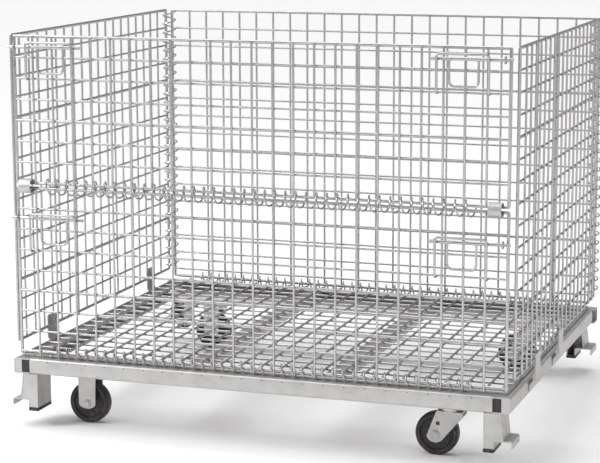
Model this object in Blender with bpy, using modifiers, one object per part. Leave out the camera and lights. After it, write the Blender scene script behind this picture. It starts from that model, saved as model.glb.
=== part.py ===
"""Collapsible wire mesh container on four feet and four casters.

Metres, +Z up, +X to the right of the front gate, -Y towards the front.
The floor is at Z = 0, and the container stands on its four wheels.
"""
import math

import bmesh
import bpy
from mathutils import Matrix, Vector

# Mesh
PITCH = 0.0488            # wire spacing of a nominal 50 mm mesh
WIRE = 0.0029             # half diagonal of a thin wire
RIM = 0.0042              # half diagonal of a rim or reinforcing wire
ROW_OFFSET = 0.0061       # thin rows lie this far outside the upright wires
BRACE_OFFSET = 0.0074     # reinforcing rows lie a little further out
SPAN = 11                 # upright wires from -SPAN to +SPAN pitches

# Base
RAIL_X = 0.600            # outer face of the side rails
RAIL_Y = 0.4975           # outer face of the front and rear rails
RAIL_LOW = 0.130
RAIL_HIGH = 0.167
RAIL_WIDTH = 0.040
SHEET = 0.003
GAP = 0.0003              # clearance between pieces that touch
FLOOR_Z = 0.1765          # front-to-back floor wires
FLOOR_RIM = 0.0032

# Gates and panels
GATE_Y = -0.480
GATE_HALF = 0.5856
FOOT_Z = 0.1825           # bottom wire of the lower gate, and foot hinge axis
FOOT_Y = GATE_Y + 0.005
LOWER_CELLS = 8
UPPER_CELLS = 7
ROD_GAP = 0.012           # between the two wires that the middle coil joins
LOWER_TOP = FOOT_Z + LOWER_CELLS * PITCH
MIDDLE_Z = LOWER_TOP + ROD_GAP / 2
MIDDLE_Y = GATE_Y - 0.008
UPPER_BOTTOM = LOWER_TOP + ROD_GAP
TOP_Z = UPPER_BOTTOM + UPPER_CELLS * PITCH
REAR_Y = 0.474
REAR_HALF = 0.587
REAR_FOOT_Y = REAR_Y - 0.005
SIDE_X = 0.601
SIDE_REAR = 0.462
SIDE_CELLS = 19
SIDE_FRONT = SIDE_REAR - SIDE_CELLS * PITCH
SIDE_BOTTOM = 0.2025
SIDE_ROWS = 15
SIDE_STEP = (TOP_Z - SIDE_BOTTOM) / SIDE_ROWS
PIVOT_X = 0.593
PIVOT_Y = 0.466

# Coils
COIL_WIRE = 0.002
COIL_POINTS = 8           # corners in one turn
FOOT_COIL = 0.0130
WIDE_COIL = 0.0177
COIL_END = 10.5           # pitches from the middle to each end of a coil

# Latches
BOLT_STANDOFF = 0.017
BOLT_RADIUS = 0.004
BOLT_TIP = 0.5955
BOLT_LENGTH = 0.184
HANDLE_X = 0.4867
HANDLE_WIDTH = 0.065
HANDLE_DROP = 0.060
KEEPER_X = 0.4863
KEEPER_WIDTH = 0.115
KEEPER_STANDOFF = 0.027
LATCH_WIRE = 0.003
EYE_X = 0.5775
LATCH_HEIGHTS = {"upper": TOP_Z - 0.0235, "lower": MIDDLE_Z - 0.074}
KEEPER_FEET = {"upper": UPPER_BOTTOM + 5 * PITCH, "lower": FOOT_Z + 5 * PITCH}

# Casters
RIGID_X = -0.445
SWIVEL_X = 0.445
CASTER_Y = 0.405
WHEEL_RADIUS = 0.050
TRAIL = 0.032
PLATE_TOP = RAIL_LOW - GAP
PLATE_THICK = 0.004
FORK_INSIDE = 0.0195
AXLE_RADIUS = 0.005

CENTRE_Y = 0.0061         # brings the middle of the whole outline to Y = 0

SIDES = {"left": -1, "right": 1}
ENDS = {"front": -1, "rear": 1}

for old in list(bpy.data.objects):
    bpy.data.objects.remove(old, do_unlink=True)

parts = bpy.data.collections.new("wire_mesh_container")
bpy.context.scene.collection.children.link(parts)
cutters = bpy.data.collections.new("cutters")
bpy.context.scene.collection.children.link(cutters)


def make_material(name, colour, roughness, metallic):
    """A plain Principled material."""
    material = bpy.data.materials.new(name)
    material.use_nodes = True
    shader = material.node_tree.nodes["Principled BSDF"]
    shader.inputs["Base Color"].default_value = (*colour, 1.0)
    shader.inputs["Roughness"].default_value = roughness
    shader.inputs["Metallic"].default_value = metallic
    return material


ZINC_WIRE = make_material("zinc_wire", (0.62, 0.64, 0.66), 0.35, 1.0)
ZINC_SHEET = make_material("zinc_sheet", (0.58, 0.60, 0.63), 0.40, 1.0)
YELLOW_ZINC = make_material("yellow_zinc", (0.60, 0.53, 0.36), 0.38, 1.0)
BLACK_RUBBER = make_material("black_rubber", (0.025, 0.025, 0.028), 0.70, 0.0)


def put_in(name, mesh, material, axis=None):
    """Link a mesh as one named part, hung on its joint's empty if it has one."""
    part = bpy.data.objects.new(name, mesh)
    mesh.materials.clear()
    mesh.materials.append(material)
    parts.objects.link(part)
    if axis is not None:
        part.parent = axis
        part.matrix_parent_inverse = axis.matrix_world.inverted()
    return part


def add_axis(name, place, parent=None):
    """An empty on a joint's axis."""
    axis = bpy.data.objects.new(name, None)
    axis.empty_display_size = 0.05
    axis.matrix_world = Matrix.Translation(place)
    parts.objects.link(axis)
    if parent is not None:
        axis.parent = parent
        axis.matrix_parent_inverse = parent.matrix_world.inverted()
    bpy.context.view_layer.update()
    return axis


def mesh_from(build_mesh):
    """Store a bmesh with its faces turned outwards."""
    mesh = bpy.data.meshes.new("shape")
    bmesh.ops.recalc_face_normals(build_mesh, faces=build_mesh.faces)
    build_mesh.to_mesh(mesh)
    build_mesh.free()
    return mesh


def add_rod(build_mesh, start, end, radius, sides=4):
    """A straight rod between two points; four sides give a diamond section."""
    start = Vector(start)
    end = Vector(end)
    length = (end - start).length
    turn = (end - start).to_track_quat("Z", "Y").to_matrix().to_4x4()
    place = Matrix.Translation((start + end) / 2) @ turn
    bmesh.ops.create_cone(build_mesh, cap_ends=True, segments=sides, radius1=radius,
                          radius2=radius, depth=length, matrix=place)


def add_box(build_mesh, low, high):
    """An upright box between its lowest and highest corners."""
    low = Vector(low)
    high = Vector(high)
    size = Matrix.Diagonal((*(high - low), 1.0))
    bmesh.ops.create_cube(build_mesh, size=1.0, matrix=Matrix.Translation((low + high) / 2) @ size)


def evaluated_mesh(shape):
    """The mesh of an object with its modifiers, welded."""
    bpy.context.view_layer.update()
    graph = bpy.context.evaluated_depsgraph_get()
    mesh = bpy.data.meshes.new_from_object(shape.evaluated_get(graph))
    mesh.transform(shape.matrix_world)
    welded = bmesh.new()
    welded.from_mesh(mesh)
    bmesh.ops.remove_doubles(welded, verts=welded.verts, dist=0.00001)
    welded.to_mesh(mesh)
    welded.free()
    return mesh


def combine(base_mesh, tool_mesh, operation="UNION"):
    """Boolean of two closed meshes."""
    base = bpy.data.objects.new("base_shape", base_mesh)
    tool = bpy.data.objects.new("tool_shape", tool_mesh)
    tool.hide_render = True
    tool.display_type = "WIRE"
    cutters.objects.link(base)
    cutters.objects.link(tool)
    boolean = base.modifiers.new("join", "BOOLEAN")
    boolean.operation = operation
    boolean.solver = "EXACT"
    boolean.object = tool
    mesh = evaluated_mesh(base)
    bpy.data.objects.remove(base)
    bpy.data.objects.remove(tool)
    return mesh


def extruded(outline, depth, turn):
    """A closed outline given depth both ways from its plane, then placed by a matrix."""
    curve = bpy.data.curves.new("outline", "CURVE")
    curve.dimensions = "2D"
    curve.fill_mode = "BOTH"
    curve.extrude = depth / 2
    spline = curve.splines.new("POLY")
    spline.points.add(len(outline) - 1)
    for point, corner in zip(spline.points, outline):
        point.co = (*corner, 0.0, 1.0)
    spline.use_cyclic_u = True
    shape = bpy.data.objects.new("outline", curve)
    shape.matrix_world = turn
    cutters.objects.link(shape)
    mesh = evaluated_mesh(shape)
    bpy.data.objects.remove(shape)
    return mesh


def tube(points, radius, resolution=1):
    """A round wire along a list of points, capped."""
    curve = bpy.data.curves.new("wire", "CURVE")
    curve.dimensions = "3D"
    curve.bevel_depth = radius
    curve.bevel_resolution = resolution
    curve.use_fill_caps = True
    spline = curve.splines.new("POLY")
    spline.points.add(len(points) - 1)
    for point, place in zip(spline.points, points):
        point.co = (*place, 1.0)
    shape = bpy.data.objects.new("wire", curve)
    cutters.objects.link(shape)
    mesh = evaluated_mesh(shape)
    bpy.data.objects.remove(shape)
    return mesh


def facing(right, up, origin=(0.0, 0.0, 0.0)):
    """Matrix that lays a flat outline's X along right and its Y along up."""
    right = Vector(right)
    up = Vector(up)
    turn = Matrix((right, up, right.cross(up))).transposed().to_4x4()
    return Matrix.Translation(origin) @ turn


def shade_round(part):
    """Smooth shading for round pieces."""
    for face in part.data.polygons:
        face.use_smooth = True


# Mesh panels

def mesh_panel(place, uprights, low, high, rows, braces, rim=RIM):
    """One welded panel: place(u, v, n) gives the world point, n being outwards."""
    upright_wires = bmesh.new()
    for u in uprights:
        radius = RIM if u in (uprights[0], uprights[-1]) else WIRE
        add_rod(upright_wires, place(u, low, 0), place(u, high, 0), radius)
    cross_wires = bmesh.new()
    left = uprights[0] - 0.002
    right = uprights[-1] + 0.002
    for v in (low, high):
        add_rod(cross_wires, place(left, v, 0), place(right, v, 0), rim)
    for v in rows:
        add_rod(cross_wires, place(left, v, ROW_OFFSET), place(right, v, ROW_OFFSET), WIRE)
    for v in braces:
        add_rod(cross_wires, place(left, v, BRACE_OFFSET), place(right, v, BRACE_OFFSET), RIM)
    return combine(mesh_from(upright_wires), mesh_from(cross_wires))


def split_rows(bottom, step, count, brace_rows):
    """Heights of the inner thin rows and of the reinforcing rows."""
    thin = [bottom + step * row for row in range(1, count) if row not in brace_rows]
    thick = [bottom + step * row for row in brace_rows]
    return thin, thick


def uprights_between(half):
    """Whole pitches about the middle, with a part cell at each edge."""
    return [-half] + [PITCH * k for k in range(-SPAN, SPAN + 1)] + [half]


def add_gates():
    """The gate's two mesh leaves."""
    def on_gate(u, v, n):
        return (u, GATE_Y - n, v)

    wires = uprights_between(GATE_HALF)
    thin, thick = split_rows(FOOT_Z, PITCH, LOWER_CELLS, [3])
    lower = mesh_panel(on_gate, wires, FOOT_Z, LOWER_TOP, thin, thick)
    put_in("lower_gate_mesh", lower, ZINC_WIRE, lower_axis)
    thin, thick = split_rows(UPPER_BOTTOM, PITCH, UPPER_CELLS, [3])
    upper = mesh_panel(on_gate, wires, UPPER_BOTTOM, TOP_Z, thin, thick)
    put_in("upper_gate_mesh", upper, ZINC_WIRE, upper_axis)


def add_rear_panel():
    """The rear mesh panel."""
    def on_rear(u, v, n):
        return (u, REAR_Y + n, v)

    thin, thick = split_rows(SIDE_BOTTOM, SIDE_STEP, SIDE_ROWS, [3, 11])
    wires = uprights_between(REAR_HALF)
    panel = mesh_panel(on_rear, wires, FOOT_Z, TOP_Z, [SIDE_BOTTOM] + thin, thick)
    put_in("rear_panel_mesh", panel, ZINC_WIRE)


def add_side_panel(name, sign, axis):
    """One side panel, hung on its rear corner."""
    def on_side(u, v, n):
        return (sign * (SIDE_X + n), u, v)

    wires = [SIDE_FRONT + PITCH * k for k in range(SIDE_CELLS + 1)]
    thin, thick = split_rows(SIDE_BOTTOM, SIDE_STEP, SIDE_ROWS, [3, 11])
    panel = mesh_panel(on_side, wires, SIDE_BOTTOM, TOP_Z, thin, thick)
    put_in(name + "_side_mesh", panel, ZINC_WIRE, axis)


def add_floor():
    """The floor mesh: front-to-back wires on top of the left-to-right ones."""
    def on_floor(u, v, n):
        return (u, v, FLOOR_Z - n)

    rows = [PITCH * k for k in range(-9, 10)]
    wires = uprights_between(GATE_HALF)
    panel = mesh_panel(on_floor, wires, FOOT_Y + 0.002, REAR_FOOT_Y - 0.002, rows, [], FLOOR_RIM)
    put_in("floor_mesh", panel, ZINC_WIRE)


# Coils

def coil(name, centre, along, first, second, radius, step, start, end, angle, axis=None):
    """A wire coil, one turn for each step, at a fixed angle wherever it passes a wire.

    start and end count steps along the coil from its centre point.
    """
    centre = Vector(centre)
    along = Vector(along)
    first = Vector(first)
    second = Vector(second)
    points = []
    for k in range(round((end - start) * COIL_POINTS) + 1):
        turns = start + k / COIL_POINTS
        turned = angle + 2 * math.pi * turns
        round_part = first * math.cos(turned) + second * math.sin(turned)
        points.append(centre + along * (turns * step) + round_part * radius)
    part = put_in(name, tube(points, COIL_WIRE, 0), ZINC_WIRE, axis)
    shade_round(part)


def add_coils():
    """The foot, middle and corner coils."""
    right = (1, 0, 0)
    back = (0, 1, 0)
    up = (0, 0, 1)
    coil("front_foot_coil", (0, FOOT_Y, FOOT_Z), right, back, up, FOOT_COIL, PITCH,
         -COIL_END, COIL_END, math.radians(-135))
    coil("rear_foot_coil", (0, REAR_FOOT_Y, FOOT_Z), right, back, up, FOOT_COIL, PITCH,
         -COIL_END, COIL_END, math.radians(-45))
    coil("middle_coil", (0, MIDDLE_Y, MIDDLE_Z), right, back, up, WIDE_COIL, PITCH,
         -COIL_END, COIL_END, 0.0, lower_axis)
    for side, sign in SIDES.items():
        coil(side + "_corner_coil", (sign * PIVOT_X, PIVOT_Y, SIDE_BOTTOM), up, (sign, 0, 0),
             back, WIDE_COIL, SIDE_STEP, 0, SIDE_ROWS, math.radians(50))


# Base frame

def add_rails():
    """Four channel rails, open inwards."""
    def channel(width):
        return [(0, RAIL_LOW), (0, RAIL_HIGH), (-width, RAIL_HIGH), (-width, RAIL_HIGH - SHEET),
                (-SHEET, RAIL_HIGH - SHEET), (-SHEET, RAIL_LOW + SHEET),
                (-width, RAIL_LOW + SHEET), (-width, RAIL_LOW)]

    side_end = RAIL_Y - RAIL_WIDTH - GAP
    side_length = RAIL_Y + side_end
    for side, sign in SIDES.items():
        place = facing((sign, 0, 0), (0, 0, 1), (sign * RAIL_X, (side_end - RAIL_Y) / 2, 0))
        put_in(side + "_base_rail", extruded(channel(RAIL_WIDTH), side_length, place), ZINC_SHEET)
    place = facing((0, -1, 0), (0, 0, 1), (0, -RAIL_Y, 0))
    front_length = 2 * (RAIL_X - RAIL_WIDTH - GAP)
    put_in("front_base_rail", extruded(channel(RAIL_WIDTH), front_length, place), ZINC_SHEET)
    place = facing((0, 1, 0), (0, 0, 1), (0, RAIL_Y, 0))
    rear_length = 2 * (RAIL_X + 0.006)
    put_in("rear_base_rail", extruded(channel(RAIL_WIDTH), rear_length, place), ZINC_SHEET)


def hat(width, low, high):
    """Outline of a channel with its open side down."""
    half = width / 2
    return [(-half, low), (-half, high), (half, high), (half, low), (half - SHEET, low),
            (half - SHEET, high - SHEET), (SHEET - half, high - SHEET), (SHEET - half, low)]


def add_cross_members():
    """Two bearers across, which carry the casters, and two above them front to back."""
    inside_x = RAIL_X - RAIL_WIDTH - GAP
    inside_y = RAIL_Y - RAIL_WIDTH - GAP
    level = 0.1495
    for end, sign in ENDS.items():
        place = facing((0, 1, 0), (0, 0, 1), (0, sign * CASTER_Y, 0))
        bearer = extruded(hat(0.090, RAIL_LOW, level), 2 * inside_x, place)
        put_in(end + "_caster_bearer", bearer, ZINC_SHEET)
    for side, sign in SIDES.items():
        place = facing((1, 0, 0), (0, 0, 1), (sign * 0.17, 0, 0))
        member = extruded(hat(0.050, level + GAP, RAIL_HIGH - GAP), 2 * inside_y, place)
        put_in(side + "_floor_bearer", member, ZINC_SHEET)


def add_legs():
    """Folded stacking feet under the four corners, each with a pad on its tip."""
    top = RAIL_LOW - GAP
    ledge = 0.066
    tip = 0.043
    folded = [(0.540, top), (0.540, tip), (0.564, tip), (0.564, ledge), (0.603, ledge),
              (0.603, 0.052), (0.606, 0.052), (0.606, ledge + SHEET), (0.587, ledge + SHEET),
              (0.578, top), (0.575, top), (0.584, ledge + SHEET), (0.561, ledge + SHEET),
              (0.561, tip + SHEET), (0.543, tip + SHEET), (0.543, top)]
    face = [(0.5415, top), (0.5415, tip + 0.0015), (0.5625, tip + 0.0015),
            (0.5625, ledge + 0.0015), (0.5855, ledge + 0.0015), (0.5765, top)]
    depth = 0.072
    for end, end_sign in ENDS.items():
        for side, sign in SIDES.items():
            y = end_sign * (RAIL_Y - 0.0005 - depth / 2)
            place = facing((sign, 0, 0), (0, 0, 1), (0, y, 0))
            y_face = end_sign * (RAIL_Y - 0.001 - SHEET / 2)
            place_face = facing((sign, 0, 0), (0, 0, 1), (0, y_face, 0))
            foot = combine(extruded(folded, depth, place), extruded(face, SHEET, place_face))
            name = end + "_" + side
            put_in(name + "_leg", foot, ZINC_SHEET)
            pad = bmesh.new()
            low = Vector((sign * 0.552 - 0.010, y - depth / 2 + 0.002, tip - 0.0025))
            high = Vector((sign * 0.552 + 0.010, y + depth / 2 - 0.002, tip - GAP))
            add_box(pad, low, high)
            put_in(name + "_foot_pad", mesh_from(pad), BLACK_RUBBER)


def add_side_guides():
    """Upturned plates on the side rails that stop the side panels from swinging out."""
    inner = SIDE_X + BRACE_OFFSET + RIM + GAP
    outer = inner + SHEET
    wall = RAIL_X + GAP
    outline = [(wall, 0.138), (outer, 0.138), (outer, 0.224), (inner, 0.224), (inner, 0.163),
               (wall, 0.163)]
    places = {"front_left": (-1, -0.26), "rear_left": (-1, 0.36),
              "front_right": (1, -0.29), "rear_right": (1, -0.03)}
    for name, (sign, y) in places.items():
        place = facing((sign, 0, 0), (0, 0, 1), (0, y, 0))
        put_in(name + "_side_guide", extruded(outline, 0.050, place), ZINC_SHEET)


# Latches

def add_latch(level, side, axis):
    """A sliding bolt with its pull handle, the bent wire over it and its eye."""
    sign = SIDES[side]
    z = LATCH_HEIGHTS[level]
    y = GATE_Y - BOLT_STANDOFF
    name = level + "_" + side
    rod = bmesh.new()
    add_rod(rod, (sign * (BOLT_TIP - BOLT_LENGTH), y, z), (sign * BOLT_TIP, y, z),
            BOLT_RADIUS, 8)
    half = HANDLE_WIDTH / 2
    bend = 0.012
    loop = []
    for x, drop in ((-half, 0.0), (-half, HANDLE_DROP - bend), (bend - half, HANDLE_DROP),
                    (half - bend, HANDLE_DROP), (half, HANDLE_DROP - bend), (half, 0.0)):
        loop.append((sign * HANDLE_X + x, y, z - drop))
    bolt = combine(mesh_from(rod), tube(loop, LATCH_WIRE))
    shade_round(put_in(name + "_bolt", bolt, ZINC_WIRE, axis))

    foot = KEEPER_FEET[level]
    near = GATE_Y - ROW_OFFSET - WIRE - GAP
    far = GATE_Y - KEEPER_STANDOFF
    bar = z + 0.011
    half = KEEPER_WIDTH / 2
    route = []
    for x, turn in ((-half, 1), (half, -1)):
        leg = [(x, near, foot), (x, far + 0.004, foot), (x, far, foot + 0.004),
               (x, far, bar - 0.006), (x + turn * 0.006, far, bar)]
        route += leg if turn == 1 else leg[::-1]
    route = [(sign * KEEPER_X + x, y_wire, z_wire) for x, y_wire, z_wire in route]
    shade_round(put_in(name + "_keeper", tube(route, LATCH_WIRE), ZINC_WIRE, axis))

    ring = []
    for k in range(13):
        turned = 2 * math.pi * k / 12 + math.pi / 2
        ring.append((sign * EYE_X, y - 0.0075 * math.sin(turned), z + 0.0075 * math.cos(turned)))
    return name, ring, axis


def add_eye(name, ring, axis):
    """A wire ring around the bolt, standing on a short stem on the gate."""
    curve = bpy.data.curves.new("ring", "CURVE")
    curve.dimensions = "3D"
    curve.bevel_depth = 0.002
    curve.bevel_resolution = 0
    spline = curve.splines.new("POLY")
    spline.points.add(len(ring) - 2)
    for point, place in zip(spline.points, ring):
        point.co = (*place, 1.0)
    spline.use_cyclic_u = True
    shape = bpy.data.objects.new("ring", curve)
    cutters.objects.link(shape)
    loop = evaluated_mesh(shape)
    bpy.data.objects.remove(shape)
    nearest = max(place[1] for place in ring)
    stem = bmesh.new()
    x = ring[0][0]
    z = ring[0][2]
    add_rod(stem, (x, GATE_Y - WIRE - GAP, z), (x, nearest - 0.0005, z), 0.002, 8)
    shade_round(put_in(name + "_bolt_eye", combine(mesh_from(stem), loop), ZINC_WIRE, axis))


def add_middle_clips():
    """Folded sleeves that hold the two leaves together at each end of the middle coil."""
    for side, sign in SIDES.items():
        outer = bmesh.new()
        inner = bmesh.new()
        x = sign * 0.5590
        centre = (0, MIDDLE_Y, MIDDLE_Z)
        for shape, radius, reach in ((outer, 0.0175, 0.0150), (inner, 0.0158, 0.0200)):
            add_rod(shape, (x - reach, *centre[1:]), (x + reach, *centre[1:]), radius, 10)
        sleeve = combine(mesh_from(outer), mesh_from(inner), "DIFFERENCE")
        put_in(side + "_middle_clip", sleeve, ZINC_SHEET, lower_axis)


# Casters

def fork_legs(outline, x, y):
    """Two cheeks of one outline, either side of the wheel, with the axle's hole."""
    cheeks = []
    for sign in (-1, 1):
        place = facing((1, 0, 0), (0, 0, 1), (x, y + sign * (FORK_INSIDE + SHEET / 2), 0))
        cheeks.append(extruded(outline, SHEET, place))
    return cheeks


def bored(mesh, x, y):
    """The axle's hole cut through both cheeks."""
    drill = bmesh.new()
    add_rod(drill, (x, y - 0.040, WHEEL_RADIUS), (x, y + 0.040, WHEEL_RADIUS),
            AXLE_RADIUS + GAP, 12)
    return combine(mesh, mesh_from(drill), "DIFFERENCE")


def add_wheel(name, x, y, axis):
    """A solid wheel turned about its axle: its section goes round the axle."""
    section = [(0.0056, 0.0185), (0.0150, 0.0185), (0.0180, 0.0090), (0.0370, 0.0090),
               (0.0400, 0.0150), (0.0465, 0.0150), (0.0500, 0.0105)]
    outline = section + [(radius, -height) for radius, height in reversed(section)]
    profile = bmesh.new()
    corners = [profile.verts.new((radius, 0.0, height)) for radius, height in outline]
    for first, second in zip(corners, corners[1:] + corners[:1]):
        profile.edges.new((first, second))
    mesh = bpy.data.meshes.new("section")
    profile.to_mesh(mesh)
    profile.free()
    shape = bpy.data.objects.new("section", mesh)
    cutters.objects.link(shape)
    screw = shape.modifiers.new("turn", "SCREW")
    screw.angle = 2 * math.pi
    screw.steps = 28
    screw.render_steps = 28
    screw.use_merge_vertices = True
    screw.merge_threshold = 0.00005
    turned = evaluated_mesh(shape)
    bpy.data.objects.remove(shape)
    outward = bmesh.new()
    outward.from_mesh(turned)
    wheel = put_in(name, mesh_from(outward), BLACK_RUBBER)
    wheel.rotation_euler = (math.radians(90), 0.0, 0.0)
    wheel.location = (x, y, WHEEL_RADIUS)
    if axis is not None:
        wheel.parent = axis
        wheel.matrix_parent_inverse = axis.matrix_world.inverted()
    shade_round(wheel)


def add_axle(name, x, y, axis):
    """The wheel's axle bolt with its head and nut."""
    bolt = bmesh.new()
    add_rod(bolt, (x, y - 0.0285, WHEEL_RADIUS), (x, y + 0.0285, WHEEL_RADIUS), AXLE_RADIUS, 12)
    ends = bmesh.new()
    for sign in (-1, 1):
        near = y + sign * (FORK_INSIDE + SHEET + GAP)
        add_rod(ends, (x, near, WHEEL_RADIUS), (x, near + sign * 0.005, WHEEL_RADIUS), 0.009, 6)
    put_in(name, combine(mesh_from(bolt), mesh_from(ends)), ZINC_SHEET, axis)


def add_rigid_caster(end):
    """A fixed caster at the left."""
    y = ENDS[end] * CASTER_Y
    under = PLATE_TOP - PLATE_THICK
    cheek = [(-0.024, under + 0.001), (0.024, under + 0.001), (0.021, 0.060), (0.013, 0.037),
             (-0.013, 0.037), (-0.021, 0.060)]
    plate = bmesh.new()
    add_box(plate, (RIGID_X - 0.055, y - 0.042, under), (RIGID_X + 0.055, y + 0.042, PLATE_TOP))
    fork = mesh_from(plate)
    for side_plate in fork_legs(cheek, RIGID_X, y):
        fork = combine(fork, side_plate)
    name = end + "_left_caster"
    put_in(name + "_fork", bored(fork, RIGID_X, y), ZINC_SHEET)
    add_wheel(name + "_wheel", RIGID_X, y, None)
    add_axle(name + "_axle", RIGID_X, y, None)


def add_swivel_caster(end):
    """A swivelling caster at the right, trailing towards the middle."""
    y = ENDS[end] * CASTER_Y
    under = PLATE_TOP - PLATE_THICK
    axle_x = SWIVEL_X - TRAIL
    name = end + "_right_caster"
    plate = bmesh.new()
    add_box(plate, (SWIVEL_X - 0.055, y - 0.042, under), (SWIVEL_X + 0.055, y + 0.042, PLATE_TOP))
    put_in(name + "_plate", mesh_from(plate), ZINC_SHEET)
    pivot = add_axis(name + "_pivot", (SWIVEL_X, y, under))
    crown = 0.106
    head = bmesh.new()
    add_box(head, (SWIVEL_X - 0.028, y - 0.0225, crown), (SWIVEL_X + 0.026, y + 0.0225, 0.110))
    ring = bmesh.new()
    add_rod(ring, (SWIVEL_X, y, 0.108), (SWIVEL_X, y, under - GAP), 0.029, 24)
    fork = combine(mesh_from(head), mesh_from(ring))
    cheek = [(-0.026, 0.1085), (0.024, 0.1085), (0.020, 0.085), (-0.014, 0.044), (-0.024, 0.036),
             (-0.040, 0.036), (-0.048, 0.046), (-0.046, 0.062)]
    for side_plate in fork_legs(cheek, SWIVEL_X, y):
        fork = combine(fork, side_plate)
    put_in(name + "_fork", bored(fork, axle_x, y), YELLOW_ZINC, pivot)
    add_wheel(name + "_wheel", axle_x, y, pivot)
    add_axle(name + "_axle", axle_x, y, pivot)


lower_axis = add_axis("lower_gate_axis", (0, FOOT_Y, FOOT_Z))
upper_axis = add_axis("upper_gate_axis", (0, MIDDLE_Y, MIDDLE_Z), lower_axis)
add_gates()
add_rear_panel()
for side_name, side_sign in SIDES.items():
    corner = add_axis(side_name + "_side_axis", (side_sign * PIVOT_X, PIVOT_Y, MIDDLE_Z))
    add_side_panel(side_name, side_sign, corner)
add_floor()
add_coils()
add_rails()
add_cross_members()
add_legs()
add_side_guides()
add_middle_clips()
for side_name in SIDES:
    add_eye(*add_latch("upper", side_name, upper_axis))
    add_eye(*add_latch("lower", side_name, lower_axis))
for end_name in ENDS:
    add_rigid_caster(end_name)
    add_swivel_caster(end_name)

whole = add_axis("container_middle", (0, 0, 0))
for piece in list(parts.objects):
    if piece.parent is None and piece is not whole:
        piece.parent = whole
whole.location.y = CENTRE_Y
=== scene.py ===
"""Finished surfaces for a collapsible wire mesh container on casters.

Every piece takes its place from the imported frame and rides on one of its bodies.
"""
import math

import bpy
import numpy as np
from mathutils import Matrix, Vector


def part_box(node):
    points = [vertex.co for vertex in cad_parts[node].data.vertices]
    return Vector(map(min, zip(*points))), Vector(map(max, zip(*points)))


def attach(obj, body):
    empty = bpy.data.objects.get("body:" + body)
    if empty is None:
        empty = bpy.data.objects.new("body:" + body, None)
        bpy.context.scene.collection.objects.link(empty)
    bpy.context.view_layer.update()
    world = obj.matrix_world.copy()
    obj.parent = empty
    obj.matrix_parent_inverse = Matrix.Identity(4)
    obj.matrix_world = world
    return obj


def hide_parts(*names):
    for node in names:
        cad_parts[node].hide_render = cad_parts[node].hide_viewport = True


bl_info = {
    "name": "Wire Mesh Container",
    "version": (1, 0, 0),
    "blender": (4, 5, 0),
    "location": "View3D > Sidebar > Mesh Container",
    "description": "Builds the welded mesh, coils, base, latches and casters around the frame",
    "category": "Object",
}

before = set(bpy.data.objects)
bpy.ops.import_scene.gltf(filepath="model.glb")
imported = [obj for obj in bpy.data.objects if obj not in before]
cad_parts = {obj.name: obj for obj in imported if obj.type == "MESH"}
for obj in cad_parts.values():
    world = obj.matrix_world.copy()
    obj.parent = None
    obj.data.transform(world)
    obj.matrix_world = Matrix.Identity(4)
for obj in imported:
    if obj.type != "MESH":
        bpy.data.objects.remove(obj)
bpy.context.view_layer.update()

SIDES = {"left": -1.0, "right": 1.0}
ENDS = {"front": -1.0, "rear": 1.0}
LEVELS = ("upper", "lower")

SPAN = 11                      # uprights either side of the middle one
FLOOR_ROWS = 9                 # floor rows either side of the middle one
FULL_CELLS = 15                # cells up a side or the rear panel
GATE_CELLS = {"upper": 7, "lower": 8}
BRACED_GATE = (3,)             # reinforcing rows, counted in cells from the bottom
BRACED_SIDE = (3, 11)
CAD_RIM = 0.0042               # half diagonal of the frame's rim wires
CAD_FLOOR_RIM = 0.0032
EDGE_SHIFT = 0.0002            # how far an edge wire stands outside the frame's own
WELD_SINK = 0.0006             # how far two welded wires sink into each other
UPRIGHT_REACH = 0.0010         # how far wires pass the rims that they are welded to
ROW_REACH = 0.0015
GATE_FOOT_REACH = 0.0080       # how far the gate's uprights pass its foot rim
FLOOR_RIM = 0.0031             # radius of the floor's edge wires
FLOOR_DROP = 0.0050            # how far the floor's rows lie below the frame's
COIL_POINTS = 14               # points on one turn of a coil
COIL_TRIM = 0.0050             # how much shorter than the frame's a coil is

SHEET_EDGE = 0.0004            # bevels on cut sheet and on thicker edges
THICK_EDGE = 0.0006
RAIL_STRIP = 0.0180            # width of the strip turned in at a side rail's front end
PLUG_INSET = 0.0032
SPOT_DROP = 0.0062             # place of a weld pit's painted shade below the rail's top edge
FOOT_WIDTH = 0.0240            # a leg's tip, and the height of its ledge
LEDGE_HEIGHT = 0.0230
PAD_WALL = 0.0005              # how far a foot's black shoe stands out around its tip
PAD_HEIGHT = 0.0085

HANDLE_SETBACK = 0.1088        # from a bolt's tip to the middle of its handle
HANDLE_HALF = 0.0325
HANDLE_WIRE = 0.0029
HANDLE_BEND = 0.0120
HANDLE_WELD = 0.003906         # radius and half length of the weld on the bolt
HANDLE_WELD_HALF = 0.0060
EYE_WIRE = 0.0019

CHEEK_INNER = 0.0195           # a fork cheek's two faces, from the wheel's middle
CHEEK_OUTER = 0.0225
MOUNT_THICKNESS = 0.0040       # of a caster's top plate, and its bolts' inset
MOUNT_INSET = 0.0120
AXLE_FACE = 0.0056             # from an axle's end to the cheek under its washer
CROWN_LOW = 0.1020             # heights of a swivel fork's crown
CROWN_HIGH = 0.1055


# Settings

class MeshSettings(bpy.types.PropertyGroup):
    """Sizes of the welded mesh and the coils."""
    pitch: bpy.props.FloatProperty(name="Pitch", description="Spacing of the wires",
                                   default=0.0488, unit="LENGTH")
    wire: bpy.props.FloatProperty(name="Wire", description="Radius of a mesh wire",
                                  default=0.0027, unit="LENGTH")
    rim: bpy.props.FloatProperty(name="Rim wire", description="Radius of a rim wire",
                                 default=0.0038, unit="LENGTH")
    coil_wire: bpy.props.FloatProperty(name="Coil wire", description="Radius of a coil's wire",
                                       default=0.0020, unit="LENGTH")
    turns: bpy.props.IntProperty(name="Turns", description="Turns of a coil in one cell",
                                 default=2, min=1)


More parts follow.
